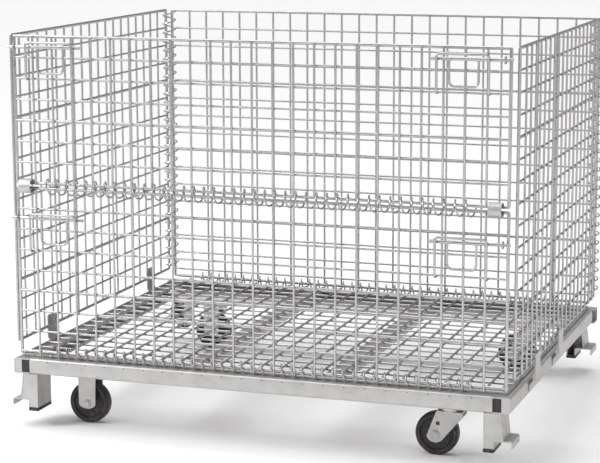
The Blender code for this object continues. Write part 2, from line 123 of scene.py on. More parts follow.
class BaseSettings(bpy.types.PropertyGroup):
    """Sizes of the folded sheet."""
    sheet: bpy.props.FloatProperty(name="Sheet", description="Thickness of the folded sheet",
                                   default=0.003, unit="LENGTH")
    bend: bpy.props.FloatProperty(name="Bend", description="Radius of a bend's middle line",
                                  default=0.0035, unit="LENGTH")


class FinishSettings(bpy.types.PropertyGroup):
    """Colours of the finishes."""
    wire_zinc: bpy.props.FloatVectorProperty(
        name="Wire zinc", description="Colour of the plated wire", subtype="COLOR",
        default=(0.46, 0.46, 0.46))
    sheet_zinc: bpy.props.FloatVectorProperty(
        name="Sheet zinc", description="Colour of the plated sheet", subtype="COLOR",
        default=(0.50, 0.49, 0.48))
    yellow_zinc: bpy.props.FloatVectorProperty(
        name="Yellow zinc", description="Colour of the passivated swivel head", subtype="COLOR",
        default=(0.62, 0.58, 0.44))
    rubber: bpy.props.FloatVectorProperty(
        name="Rubber", description="Colour of the wheels and pads", subtype="COLOR",
        default=(0.018, 0.016, 0.016))


# Materials

def shader_tree(name):
    """A new node material with its tree and its Principled shader."""
    material = bpy.data.materials.get(name) or bpy.data.materials.new(name)
    material.use_nodes = True
    tree = material.node_tree
    tree.nodes.clear()
    output = tree.nodes.new("ShaderNodeOutputMaterial")
    shader = tree.nodes.new("ShaderNodeBsdfPrincipled")
    tree.links.new(shader.outputs["BSDF"], output.inputs["Surface"])
    return material, tree, shader


def noise(tree, scale, detail=4.0, stretch=(1.0, 1.0, 1.0)):
    """Noise on object coordinates, stretched along the axes."""
    place = tree.nodes.new("ShaderNodeTexCoord")
    mapping = tree.nodes.new("ShaderNodeMapping")
    mapping.inputs["Scale"].default_value = stretch
    texture = tree.nodes.new("ShaderNodeTexNoise")
    texture.inputs["Scale"].default_value = scale
    texture.inputs["Detail"].default_value = detail
    tree.links.new(place.outputs["Object"], mapping.inputs["Vector"])
    tree.links.new(mapping.outputs["Vector"], texture.inputs["Vector"])
    return texture.outputs["Fac"]


def ramp(tree, factor, stops):
    """A colour ramp with (position, colour) stops."""
    node = tree.nodes.new("ShaderNodeValToRGB")
    elements = node.color_ramp.elements
    elements[0].position = stops[0][0]
    elements[0].color = stops[0][1]
    elements[1].position = stops[-1][0]
    elements[1].color = stops[-1][1]
    for position, colour in stops[1:-1]:
        elements.new(position).color = colour
    tree.links.new(factor, node.inputs["Fac"])
    return node.outputs["Color"]


def remapped(tree, factor, low, high):
    """A value spread between two limits."""
    node = tree.nodes.new("ShaderNodeMapRange")
    node.inputs["From Min"].default_value = 0.3
    node.inputs["From Max"].default_value = 0.7
    node.inputs["To Min"].default_value = low
    node.inputs["To Max"].default_value = high
    tree.links.new(factor, node.inputs["Value"])
    return node.outputs["Result"]


def tinted(colour, gain):
    """A colour made lighter or darker, with its alpha."""
    return tuple(min(1.0, channel * gain) for channel in colour) + (1.0,)


def bumped(tree, shader, height, strength, distance):
    """Bump from a height."""
    bump = tree.nodes.new("ShaderNodeBump")
    bump.inputs["Strength"].default_value = strength
    bump.inputs["Distance"].default_value = distance
    tree.links.new(height, bump.inputs["Height"])
    tree.links.new(bump.outputs["Normal"], shader.inputs["Normal"])


def mixed(tree, factor, first, second):
    """Two colours multiplied, as strongly as the factor says."""
    node = tree.nodes.new("ShaderNodeMix")
    node.data_type = "RGBA"
    node.blend_type = "MULTIPLY"
    node.inputs["Factor"].default_value = factor
    tree.links.new(first, node.inputs["A"])
    tree.links.new(second, node.inputs["B"])
    return node.outputs["Result"]


def zinc(name, colour, metallic, rough, streak):
    """Plated steel: cloudy plating, fine drawn streaks and small dull spots."""
    material, tree, shader = shader_tree(name)
    cloud = ramp(tree, noise(tree, 34.0, 5.0), [
        (0.30, tinted(colour, 0.90)), (0.52, tinted(colour, 1.0)), (0.72, tinted(colour, 1.07))])
    spots = ramp(tree, noise(tree, 420.0, 3.0), [
        (0.28, (0.62, 0.61, 0.59, 1.0)), (0.42, (1.0, 1.0, 1.0, 1.0))])
    tree.links.new(mixed(tree, 0.6, cloud, spots), shader.inputs["Base Color"])
    tree.links.new(remapped(tree, noise(tree, 55.0, 5.0), *rough), shader.inputs["Roughness"])
    shader.inputs["Metallic"].default_value = metallic
    bumped(tree, shader, noise(tree, 260.0, 3.0, streak), 0.12, 0.0004)
    return material


def rubber(name, colour):
    """Moulded black rubber with grey scuffs and a fine grain."""
    material, tree, shader = shader_tree(name)
    scuffs = ramp(tree, noise(tree, 95.0, 7.0), [
        (0.40, tinted(colour, 0.8)), (0.60, tinted(colour, 1.5)),
        (0.78, (0.085, 0.080, 0.076, 1.0))])
    tree.links.new(scuffs, shader.inputs["Base Color"])
    tree.links.new(remapped(tree, noise(tree, 120.0, 4.0), 0.34, 0.62), shader.inputs["Roughness"])
    bumped(tree, shader, noise(tree, 900.0, 3.0), 0.25, 0.0004)
    return material


def finishes():
    """The object's materials by slot, made once."""
    tones = bpy.context.scene.container_finish
    if "zinc_wire_finish" not in bpy.data.materials:
        zinc("zinc_wire_finish", tones.wire_zinc, 1.0, (0.22, 0.36), (1.0, 1.0, 1.0))
        zinc("zinc_sheet_finish", tones.sheet_zinc, 0.70, (0.36, 0.52), (0.25, 1.0, 1.0))
        zinc("yellow_zinc_finish", tones.yellow_zinc, 0.85, (0.30, 0.50), (1.0, 1.0, 1.0))
        rubber("black_rubber_finish", tones.rubber)
    return {slot: bpy.data.materials[slot + "_finish"]
            for slot in ("zinc_wire", "zinc_sheet", "yellow_zinc", "black_rubber")}


# Surfaces

def joined(shells):
    """Several (points, faces) shells as one."""
    points = []
    faces = []
    first = 0
    for shell_points, shell_faces in shells:
        points.append(shell_points.reshape(-1, 3))
        for group in shell_faces:
            faces.extend((np.asarray(group) + first).tolist())
        first += len(points[-1])
    return np.concatenate(points), faces


def add_piece(name, shells, slot, body, nodes=(), bevel=0.0):
    """One mesh object from its shells, finished, hung on its body and standing for its nodes."""
    points, faces = joined(shells)
    mesh = bpy.data.meshes.new(name)
    mesh.from_pydata(points.tolist(), [], faces)
    mesh.polygons.foreach_set("use_smooth", np.ones(len(mesh.polygons), bool))
    mesh.set_sharp_from_angle(angle=math.radians(38))
    mesh.update()
    piece = bpy.data.objects.new(name, mesh)
    bpy.context.scene.collection.objects.link(piece)
    mesh.materials.append(finishes()[slot])
    if bevel:
        edge = piece.modifiers.new("soft_edges", "BEVEL")
        edge.width = bevel
        edge.segments = 2
        edge.limit_method = "ANGLE"
        edge.angle_limit = math.radians(50)
        edge.harden_normals = True
    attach(piece, body)
    if nodes:
        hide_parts(*nodes)
    return piece


def unit(vectors):
    """Vectors scaled to length one."""
    return vectors / np.linalg.norm(vectors, axis=-1, keepdims=True)


def swept(paths, radii, reference, sides=10):
    """Round wires: a circle carried along each path, closed with a domed end.

    paths is (wires, points, 3) and radii one radius for each wire. A point is the path's
    point, plus radius * (cos a * n + sin a * b), where n is square to the path and to the
    reference direction, and b is square to both. Three smaller rings round off each end.
    """
    paths = np.asarray(paths, float)
    radii = np.broadcast_to(np.asarray(radii, float), paths.shape[:1])
    bend = np.radians([90.0, 60.0, 30.0])
    head = unit(paths[:, :1] - paths[:, 1:2])
    tail = unit(paths[:, -1:] - paths[:, -2:-1])
    depth = 0.45 * radii[:, None, None]
    start = paths[:, :1] + head * depth * (np.sin(bend) - 1.0)[None, :, None]
    finish = paths[:, -1:] + tail * depth * (np.sin(bend[::-1]) - 1.0)[None, :, None]
    tangents = unit(np.gradient(paths, axis=1))
    tangents = np.concatenate([tangents[:, :1].repeat(3, 1), tangents[:, 1:-1],
                               tangents[:, -1:].repeat(3, 1)], 1)
    scale = np.ones((len(paths), paths.shape[1] + 4))
    scale[:, :3] = np.maximum(np.cos(bend), 0.12)
    scale[:, -3:] = np.maximum(np.cos(bend[::-1]), 0.12)
    middle = np.concatenate([start, paths[:, 1:-1], finish], 1)
    normal = unit(np.cross(tangents, np.asarray(reference, float)))
    binormal = np.cross(tangents, normal)
    angle = np.linspace(0.0, 2.0 * math.pi, sides, endpoint=False)
    circle = (np.cos(angle)[:, None] * normal[:, :, None] +
              np.sin(angle)[:, None] * binormal[:, :, None])
    points = middle[:, :, None] + circle * (scale * radii[:, None])[:, :, None, None]
    wires, rings = points.shape[:2]
    grid = np.arange(wires * rings * sides).reshape(wires, rings, sides)
    near = grid[:, :-1]
    far = grid[:, 1:]
    walls = np.stack([near, np.roll(near, -1, 2), np.roll(far, -1, 2), far], -1).reshape(-1, 4)
    return points, [walls, grid[:, 0, ::-1], grid[:, -1]]


def turned(profile, centre, axis, reference, sides=40):
    """A ring: a closed section carried once round an axis.

    The section's points are (radius, height along the axis); a point is
    centre + radius * (cos a * u + sin a * v) + height * axis.
    """
    profile = np.asarray(profile, float)
    axis = np.asarray(axis, float)
    u = np.asarray(reference, float)
    v = np.cross(axis, u)
    angle = np.linspace(0.0, 2.0 * math.pi, sides, endpoint=False)
    spoke = np.cos(angle)[:, None] * u + np.sin(angle)[:, None] * v
    points = (np.asarray(centre, float) + spoke[:, None] * profile[None, :, :1] +
              axis * profile[None, :, 1:])
    count = len(profile)
    grid = np.arange(sides * count).reshape(sides, count)
    other = np.roll(grid, -1, 0)
    walls = np.stack([grid, np.roll(grid, -1, 1), np.roll(other, -1, 1), other], -1)
    return facing_out(points.reshape(-1, 3), [walls.reshape(-1, 4)])


def rounded_path(corners, radius, steps=5):
    """A line through corners with each bend as an arc that touches both its legs."""
    corners = np.asarray(corners, float)
    path = [corners[0]]
    for before, corner, after in zip(corners, corners[1:], corners[2:]):
        inward = unit(before - corner)
        onward = unit(after - corner)
        half = math.acos(max(-1.0, min(1.0, float(inward @ onward)))) / 2
        reach = min(radius / math.tan(half), 0.45 * np.linalg.norm(before - corner),
                    0.45 * np.linalg.norm(after - corner))
        size = reach * math.tan(half)
        middle = corner + unit(inward + onward) * size / math.sin(half)
        first = corner + inward * reach - middle
        last = corner + onward * reach - middle
        share = np.linspace(0.0, 1.0, steps + 1)[:, None]
        arc = unit(first * (1 - share) + last * share) * size
        path.extend(middle + arc)
    path.append(corners[-1])
    return np.array(path)


def folded(corners, thickness, bend, place, low, high):
    """A folded sheet: a bent middle line with half the thickness on each side, given depth.

    corners are flat (a, b) points; place turns (a, b, w) arrays into world points, and w
    runs from low to high.
    """
    line = rounded_path(corners, bend)
    along = unit(np.gradient(line, axis=0))
    along[0] = unit(line[1] - line[0])
    along[-1] = unit(line[-1] - line[-2])
    side = np.stack([-along[:, 1], along[:, 0]], -1) * thickness / 2
    left = line + side
    right = line - side
    section = np.stack([left, right, right, left], 1)
    depth = np.broadcast_to(np.array([low, low, high, high]), section.shape[:2])
    points = place(section[..., 0], section[..., 1], depth)
    count = len(line)
    grid = np.arange(count * 4).reshape(count, 4)
    near = grid[:-1]
    far = grid[1:]
    walls = np.stack([near, np.roll(near, -1, 1), np.roll(far, -1, 1), far], -1)
    faces = [walls.reshape(-1, 4), grid[:1, ::-1], grid[-1:]]
    return facing_out(points.reshape(-1, 3), faces)


def facing_out(points, faces):
    """The same shell with its faces turned over if it encloses a negative volume."""
    volume = 0.0
    for group in faces:
        corners = points[np.asarray(group)]
        for k in range(1, corners.shape[1] - 1):
            volume += np.einsum("ij,ij->i", corners[:, 0],
                                np.cross(corners[:, k], corners[:, k + 1])).sum()
    if volume < 0:
        faces = [np.asarray(group)[:, ::-1] for group in faces]
    return points, faces


def flat_plate(outline, bend, place, low, high):
    """A flat plate with rounded corners, given depth from low to high."""
    outline = np.asarray(outline, float)
    middle = (outline[0] + outline[-1]) / 2
    loop = rounded_path(np.concatenate([[middle], outline, [middle]]), bend)[:-1]
    count = len(loop)
    points = np.concatenate([place(loop[:, 0], loop[:, 1], np.full(count, w))
                             for w in (low, high)])
    bottom = np.arange(count)
    top = bottom + count
    walls = np.stack([bottom, np.roll(bottom, -1), np.roll(top, -1), top], -1)
    return facing_out(points, [walls, bottom[None, ::-1], top[None]])


def along_x(y, z, sign=1.0):
    """Places (a, b, w) with w along X, a from y towards the sign's side and b up from z."""
    return lambda a, b, w: np.stack([w, y + sign * a, z + b], -1)


def along_y(x, z, sign=1.0):
    """Places (a, b, w) with w along Y, a from x towards the sign's side and b up from z."""
    return lambda a, b, w: np.stack([x + sign * a, w, z + b], -1)


def along_z(x, y):
    """Places (a, b, w) with w up, a along X from x and b along Y from y."""
    return lambda a, b, w: np.stack([x + a, y + b, w], -1)


def rectangle(left, bottom, right, top):
    """The corners of a rectangle, once round."""
    return [(left, bottom), (right, bottom), (right, top), (left, top)]


def hexagon(centre, axis, reference, radius, height):
    """A nut or bolt head with a small chamfer, standing on centre along axis."""
    section = [(0.0005, height), (radius * 0.82, height), (radius, height * 0.82), (radius, 0.0),
               (0.0005, 0.0)]
    return turned(section, centre, axis, reference, 6)


def disc(centre, axis, reference, radius, height, sides=28):
    """A round washer or boss with a soft edge, standing on centre along axis."""
    edge = min(radius, height) * 0.3
    section = [(0.0005, height), (radius - edge, height),
               (radius - edge * 0.3, height - edge * 0.3), (radius, height - edge),
               (radius, 0.0), (0.0005, 0.0)]
    return turned(section, centre, axis, reference, sides)


# Welded mesh

def straight(starts, ends):
    """Paths of four points between matching starts and ends."""
    share = np.array([0.0, 0.02, 0.98, 1.0])[None, :, None]
    return starts[:, None] * (1 - share) + ends[:, None] * share


def welded_panel(node, body, place, uprights, low, high, rows, braces, across, rim_radius=None,
                 tail=UPRIGHT_REACH):
    """A welded mesh panel, the piece called across, in place of its node.

    place turns (u, v, n) arrays into world points, n being outwards; rows, rims and edge
    wires share one plane, and the other uprights lie on its outside, sunk into the rows by
    their weld. The uprights' feet reach past the lower rim by tail.
    """
    sizes = bpy.context.scene.container_mesh
    rim_radius = rim_radius or sizes.rim
    uprights = np.asarray(uprights, float)
    flat = np.zeros_like(uprights)
    edge = np.zeros(len(uprights), bool)
    edge[[0, -1]] = True
    radii = np.where(edge, rim_radius, sizes.wire)
    forward = np.where(edge, 0.0, 2 * sizes.wire - WELD_SINK)
    starts = place(uprights, flat + low - tail, forward)
    ends = place(uprights, flat + high + UPRIGHT_REACH, forward)
    up = unit(ends[0] - starts[0])
    right = unit(starts[-1] - starts[0])
    shells = [swept(straight(starts, ends), radii, right)]
    heights = np.array([low, high, *rows, *braces])
    thin = np.array([False, False] + [True] * len(rows) + [False] * len(braces))
    radii = np.where(thin, sizes.wire, rim_radius)
    level = np.zeros(len(heights))
    left_end = place(np.full(len(heights), uprights[0] - ROW_REACH), heights, level)
    right_end = place(np.full(len(heights), uprights[-1] + ROW_REACH), heights, level)
    shells.append(swept(straight(left_end, right_end), radii, up))
    add_piece(across, shells, "zinc_wire", body, [node])


def cell_rows(low, high, cells, braced):
    """Heights of thin and reinforcing rows between two rims."""
    step = (high - low) / cells
    thin = [low + step * k for k in range(1, cells) if k not in braced]
    return thin, [low + step * k for k in braced]


def middle_uprights(side):
    """Whole pitches about the middle and a part cell at each edge of a frame that ends at side."""
    pitch = bpy.context.scene.container_mesh.pitch
    half = side - CAD_RIM + EDGE_SHIFT
    return [-half] + [pitch * k for k in range(-SPAN, SPAN + 1)] + [half]


class ContainerGates(bpy.types.Operator):
    """Welds the two leaves of the front gate"""
    bl_idname = "container.gates"
    bl_label = "Gate Leaves"

    def execute(self, context):
        for level, cells in GATE_CELLS.items():
            node = level + "_gate_mesh"
            low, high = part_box(node)
            plane = high.y - CAD_RIM
            bottom = low.z + CAD_RIM
            top = high.z - CAD_RIM
            thin, thick = cell_rows(bottom, top, cells, BRACED_GATE)
            welded_panel(node, level + "_gate", lambda u, v, n: np.stack([u, plane - n, v], -1),
                         middle_uprights(high.x), bottom, top, thin, thick,
                         level + "_gate_leaf",
                         tail=GATE_FOOT_REACH if level == "lower" else UPRIGHT_REACH)
        return {"FINISHED"}


class ContainerWalls(bpy.types.Operator):
    """Welds the rear and side panels and the floor"""
    bl_idname = "container.walls"
    bl_label = "Walls and Floor"

    def execute(self, context):
        pitch = context.scene.container_mesh.pitch
        for side, sign in SIDES.items():
            node = side + "_side_mesh"
            low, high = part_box(node)
            plane = (low.x if sign > 0 else high.x) + sign * CAD_RIM
            bottom = low.z + CAD_RIM
            top = high.z - CAD_RIM
            thin, thick = cell_rows(bottom, top, FULL_CELLS, BRACED_SIDE)
            count = round((high.y - low.y) / pitch)
            uprights = np.linspace(low.y + CAD_RIM, high.y - CAD_RIM, count + 1)
            welded_panel(node, side + "_side",
                         lambda u, v, n: np.stack([plane + sign * n, u, v], -1),
                         uprights, bottom, top, thin, thick, side + "_side_panel")
        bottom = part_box("left_side_mesh")[0].z + CAD_RIM
        low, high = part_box("rear_panel_mesh")
        plane = low.y + CAD_RIM
        top = high.z - CAD_RIM
        thin, thick = cell_rows(bottom, top, FULL_CELLS, BRACED_SIDE)
        welded_panel("rear_panel_mesh", "root", lambda u, v, n: np.stack([u, plane + n, v], -1),
                     middle_uprights(high.x), low.z + CAD_RIM, top, [bottom] + thin, thick,
                     "rear_panel")
        low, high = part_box("floor_mesh")
        plane = high.z - CAD_RIM - FLOOR_DROP
        middle = (low.y + high.y) / 2
        rows = [middle + pitch * k for k in range(-FLOOR_ROWS, FLOOR_ROWS + 1)]
        welded_panel("floor_mesh", "root", lambda u, v, n: np.stack([u, v, plane + n], -1),
                     middle_uprights(high.x), low.y + CAD_FLOOR_RIM, high.y - CAD_FLOOR_RIM,
                     rows, [], "floor_grid", FLOOR_RIM)
        return {"FINISHED"}


# Coils

def helix(centre, axis, first, second, radius, length, turns, phase):
    """A coil's path: centre + t * axis + radius * (cos a * first + sin a * second).

    The angle a grows evenly with t, by one full circle for each turn.
    """
    share = np.linspace(-0.5, 0.5, int(turns * COIL_POINTS) + 1)[:, None]
    angle = phase + 2.0 * math.pi * turns * share
    return (np.asarray(centre, float) + np.asarray(axis, float) * length * share +
            radius * (np.cos(angle) * np.asarray(first, float) +
                      np.sin(angle) * np.asarray(second, float)))


class ContainerCoils(bpy.types.Operator):
    """Winds the coils that hinge the panels, and the sleeves at the middle coil's ends"""
    bl_idname = "container.coils"
    bl_label = "Hinge Coils"

    def execute(self, context):
        sizes = context.scene.container_mesh
        for name, body, phase in (("front_foot_coil", "root", -135.0),
                                  ("rear_foot_coil", "root", -45.0),
                                  ("middle_coil", "lower_gate", 0.0)):
            low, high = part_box(name)
            turns = sizes.turns * round((high.x - low.x) / sizes.pitch)
            self.coil(name, body, (high.z - low.z) / 2, high.x - low.x, turns,
                      math.radians(phase), np.eye(3))
        for side in SIDES:
            name = side + "_corner_coil"
            low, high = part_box(name)
            self.coil(name, "root", (high.x - low.x) / 2, high.z - low.z,
                      sizes.turns * FULL_CELLS, 0.9, np.roll(np.eye(3), 1, 0))
            self.sleeve(side)
        return {"FINISHED"}

    def coil(self, name, body, outer, length, turns, phase, axes):
        """A coil in its node's box; axes holds its direction and two directions square to it."""
        sizes = bpy.context.scene.container_mesh
        low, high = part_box(name)
        path = helix((low + high) / 2, *axes, outer - sizes.coil_wire - 0.0001,
                     length - COIL_TRIM, turns, phase)
        add_piece(name + "_wire", [swept(path[None], sizes.coil_wire, axes[0], 8)],
                  "zinc_wire", body, [name])

    def sleeve(self, side):
        """The split sleeve around an end of the middle coil."""
        node = side + "_middle_clip"
        low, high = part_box(node)
        middle = (low + high) / 2
        angle = np.radians(np.linspace(25.0, 335.0, 40))
        radius = (high.z - low.z) / 2 - 0.0014
        ring = np.stack([radius * np.cos(angle), radius * np.sin(angle)], -1)
        shell = folded(ring, 0.0015, 0.0002, along_x(middle.y, middle.z), low.x, high.x)
        add_piece(side + "_hinge_sleeve", [shell], "zinc_sheet", "lower_gate", [node], 0.0003)


# Base

def channel_corners(width, height, inset):
    """Middle line of a channel open towards negative a, from its top lip to its bottom lip."""
    return [(-width, height - inset), (-inset, height - inset), (-inset, inset), (-width, inset)]


class ContainerBase(bpy.types.Operator):
    """Folds the rails, bearers, legs, pads and side guides"""
    bl_idname = "container.base"
    bl_label = "Base Frame"

    def execute(self, context):
        sizes = context.scene.container_base
        half = sizes.sheet / 2
        self.rails(sizes, half)
        self.bearers(sizes, half)
        self.legs(sizes, half)
        self.guides(sizes, half)
        return {"FINISHED"}

    def rails(self, sizes, half):
        """The four channels, with the side rails' ends and the painted shade of small weld pits on
        the others.
        """
        for side, sign in SIDES.items():
            low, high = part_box(side + "_base_rail")
            outer = high.x if sign > 0 else low.x
            corners = channel_corners(high.x - low.x, high.z - low.z, half)
            shell = folded(corners, sizes.sheet, sizes.bend, along_y(outer, low.z, sign),
                           low.y, high.y)
            add_piece(side + "_rail", [shell], "zinc_sheet", "root", [side + "_base_rail"],
                      SHEET_EDGE)
            self.rail_end(side, sign, low, high)
        for end, sign in ENDS.items():
            low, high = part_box(end + "_base_rail")
            outer = high.y if sign > 0 else low.y
            corners = channel_corners(high.y - low.y, high.z - low.z, half)
            shell = folded(corners, sizes.sheet, sizes.bend, along_x(outer, low.z, sign),
                           low.x, high.x)
            add_piece(end + "_rail", [shell], "zinc_sheet", "root", [end + "_base_rail"],
                      SHEET_EDGE)
            self.painted_weld_pit_shade(end, outer, sign, high.z)

    def rail_end(self, side, sign, low, high):
        """A turned-in strip and a black plug that close a side rail's front end."""
        outer = max(abs(low.x), abs(high.x)) - 0.002
        inner = min(abs(low.x), abs(high.x)) + 0.0005
        step = outer - RAIL_STRIP
        height = high.z - low.z
        place = along_y(0.0, low.z, sign)
        strip = flat_plate(rectangle(step, 0.002, outer, height - 0.002), 0.001, place,
                           low.y + 0.0006, low.y + 0.0030)
        add_piece(side + "_rail_strip", [strip], "zinc_sheet", "root")
        plug = flat_plate(rectangle(inner, PLUG_INSET, step + 0.001, height - PLUG_INSET), 0.002,
                          place, low.y + 0.0015, low.y + 0.0120)
        add_piece(side + "_rail_plug", [plug], "black_rubber", "root", (), THICK_EDGE)

    def painted_weld_pit_shade(self, end, outer, sign, top):
        """Black spots on a rail's face, just below its top edge and between the uprights: painted
        shade of the small weld pits there.
        """
        pitch = bpy.context.scene.container_mesh.pitch
        section = [(0.0004, 0.0004), (0.0011, 0.0004), (0.0017, 0.0001), (0.0018, -0.0004),
                   (0.0004, -0.0004)]
        spots = [turned(section, (pitch * (k + 0.5), outer - sign * 0.0002, top - SPOT_DROP),
                        (0, sign, 0), (1, 0, 0), 10)
                 for k in range(-SPAN - 1, SPAN + 1)]
        # painted shade: the weld pits' darkness is drawn as raised dots in the black rubber finish
        add_piece(end + "_weld_pit_shade_dots", spots, "black_rubber", "root")

    def bearers(self, sizes, half):
        """The channels that carry the casters and the floor, open below."""
        for end in ENDS:
            node = end + "_caster_bearer"
            low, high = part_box(node)
            self.bearer(node, end + "_cross_bearer", sizes, (high.y - low.y) / 2 - half,
                        high.z - low.z - half, along_x((low.y + high.y) / 2, low.z),
                        low.x, high.x)
        for side in SIDES:
            node = side + "_floor_bearer"
            low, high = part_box(node)
            self.bearer(node, side + "_long_bearer", sizes, (high.x - low.x) / 2 - half,
                        high.z - low.z - half, along_y((low.x + high.x) / 2, low.z),
                        low.y, high.y)

    def bearer(self, node, name, sizes, width, top, place, start, finish):
        """One channel of a half width, from start to finish."""
        shell = folded([(-width, 0.0), (-width, top), (width, top), (width, 0.0)],
                       sizes.sheet, sizes.bend, place, start, finish)
        add_piece(name, [shell], "zinc_sheet", "root", [node], SHEET_EDGE)

    def legs(self, sizes, half):
        """The folded legs with their ledges, each with a black shoe on its tip."""
        for end, end_sign in ENDS.items():
            for side, sign in SIDES.items():
                name = end + "_" + side
                low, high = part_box(name + "_leg")
                inner = min(abs(low.x), abs(high.x))
                lip = max(abs(low.x), abs(high.x)) - inner
                place = along_y(sign * inner, low.z, sign)
                top = high.z - low.z
                ledge = LEDGE_HEIGHT + half
                tip = FOOT_WIDTH - half
                body_line = [(half, top), (half, half), (tip, half), (tip, ledge),
                             (lip - half, ledge), (lip - half, 0.009)]
                cheek_line = [(0.0365, top), (0.0445, ledge)]
                face = [(half, top - 0.0002), (half, half), (tip, half), (tip, ledge),
                        (0.0440, ledge), (0.0362, top - 0.0002)]
                outside = low.y if end_sign < 0 else high.y
                plate = sorted((outside - end_sign * 0.0008,
                                outside - end_sign * (sizes.sheet + 0.0008)))
                shells = [folded(body_line, sizes.sheet, sizes.bend, place, low.y, high.y),
                          folded(cheek_line, sizes.sheet, sizes.bend, place, low.y, high.y),
                          flat_plate(face, 0.001, place, *plate)]
                add_piece(name + "_foot", shells, "zinc_sheet", "root", [name + "_leg"],
                          SHEET_EDGE)
                left, right = sorted((sign * (inner - PAD_WALL),
                                      sign * (inner + FOOT_WIDTH + PAD_WALL)))
                corners = rectangle(left, low.y - PAD_WALL, right, high.y + PAD_WALL)
                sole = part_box(name + "_foot_pad")[0].z
                pad = flat_plate(corners, 0.002, along_z(0.0, 0.0), sole, sole + PAD_HEIGHT)
                add_piece(name + "_pad", [pad], "black_rubber", "root", [name + "_foot_pad"],
                          THICK_EDGE)

    def guides(self, sizes, half):
        """The bent plates that the side panels close against."""
        for end in ENDS:
            for side, sign in SIDES.items():
                node = end + "_" + side + "_side_guide"
                low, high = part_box(node)
                wall = min(abs(low.x), abs(high.x))
                reach = abs(high.x - low.x) - half
                line = [(half, 0.0), (half, 0.014), (reach, 0.030), (reach, high.z - low.z)]
                shell = folded(line, sizes.sheet, 0.006, along_y(sign * wall, low.z, sign),
                               low.y, high.y)
                add_piece(end + "_" + side + "_stop_plate", [shell], "zinc_sheet", "root", [node],
                          THICK_EDGE)


# Latches

class ContainerLatches(bpy.types.Operator):
    """Bends the bolts, handles, keepers and eyes"""
    bl_idname = "container.latches"
    bl_label = "Gate Latches"

    def execute(self, context):
        for level in LEVELS:
            for side, sign in SIDES.items():
                self.bolt(level + "_" + side, sign)
                self.keeper(level + "_" + side, level + "_gate")
                self.eye(level + "_" + side, level + "_gate")
        return {"FINISHED"}

    def bolt(self, name, sign):
        """A round bolt with a U handle welded under it."""
        low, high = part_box(name + "_bolt")
        y = (low.y + high.y) / 2
        radius = (high.y - low.y) / 2 - 0.0001
        z = high.z - radius
        rod = straight(np.array([[low.x, y, z]]), np.array([[high.x, y, z]]))
        tip = high.x if sign > 0 else low.x
        middle = tip - sign * HANDLE_SETBACK
        ends = (middle - HANDLE_HALF, middle + HANDLE_HALF)
        bottom = low.z + 0.003
        corners = [(ends[0], y, z), (ends[0], y, bottom), (ends[1], y, bottom), (ends[1], y, z)]
        handle = rounded_path(corners, HANDLE_BEND, 8)
        shells = [swept(rod, radius, (0, 1, 0), 16),
                  swept(handle[None], HANDLE_WIRE, (0, 1, 0), 12)]
        for x in ends:
            weld = straight(np.array([[x - HANDLE_WELD_HALF, y, z - 0.001]]),
                            np.array([[x + HANDLE_WELD_HALF, y, z - 0.001]]))
            shells.append(swept(weld, HANDLE_WELD, (0, 1, 0), 12))
        add_piece(name + "_slide_bolt", shells, "zinc_wire", name + "_bolt", [name + "_bolt"])

    def keeper(self, name, body):
        """The bent wire that a bolt slides in."""
        low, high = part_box(name + "_keeper")
        left = low.x + HANDLE_WIRE
        right = high.x - HANDLE_WIRE
        far = low.y + HANDLE_WIRE
        near = high.y
        top = high.z - HANDLE_WIRE
        foot = low.z + HANDLE_WIRE
        corners = [(left, near, foot), (left, far, foot), (left, far, top), (right, far, top),
                   (right, far, foot), (right, near, foot)]
        path = rounded_path(corners, 0.007, 7)
        wire = swept(path[None], HANDLE_WIRE, (0.31, 0.83, -0.46), 12)
        add_piece(name + "_keeper_wire", [wire], "zinc_wire", body, [name + "_keeper"])

    def eye(self, name, body):
        """The ring on a stem that guides a bolt's tip."""
        low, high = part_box(name + "_bolt_eye")
        middle = (low + high) / 2
        half = (high.z - low.z) / 2
        centre = (middle.x, low.y + half, middle.z)
        ring_radius = half - 0.002
        angle = np.linspace(0.0, 2.0 * math.pi, 12, endpoint=False)
        section = np.stack([ring_radius + EYE_WIRE * np.cos(angle), EYE_WIRE * np.sin(angle)], -1)
        stem = straight(np.array([[middle.x, high.y, middle.z]]),
                        np.array([[middle.x, centre[1] + ring_radius, middle.z]]))
        shells = [turned(section[::-1], centre, (1, 0, 0), (0, 1, 0), 28),
                  swept(stem, EYE_WIRE, (0, 0, 1), 10)]
        add_piece(name + "_eye", shells, "zinc_wire", body, [name + "_bolt_eye"])


# Casters

WHEEL_SECTION = (
    (0.0060, 0.0183), (0.0125, 0.0183), (0.0140, 0.0176), (0.0150, 0.0160), (0.0158, 0.0105),
    (0.0180, 0.0090), (0.0340, 0.0090), (0.0362, 0.0098), (0.0376, 0.0130), (0.0392, 0.0146),
    (0.0420, 0.0150), (0.0455, 0.0148), (0.0480, 0.0134), (0.0493, 0.0105), (0.0499, 0.0060))


HEAD_SECTION = (
    (0.0005, 0.0), (0.0240, 0.0), (0.0275, -0.0012), (0.0288, -0.0040), (0.0282, -0.0072),
    (0.0262, -0.0088), (0.0285, -0.0104), (0.0282, -0.0135), (0.0262, -0.0185),
    (0.0225, -0.0205), (0.0005, -0.0205))


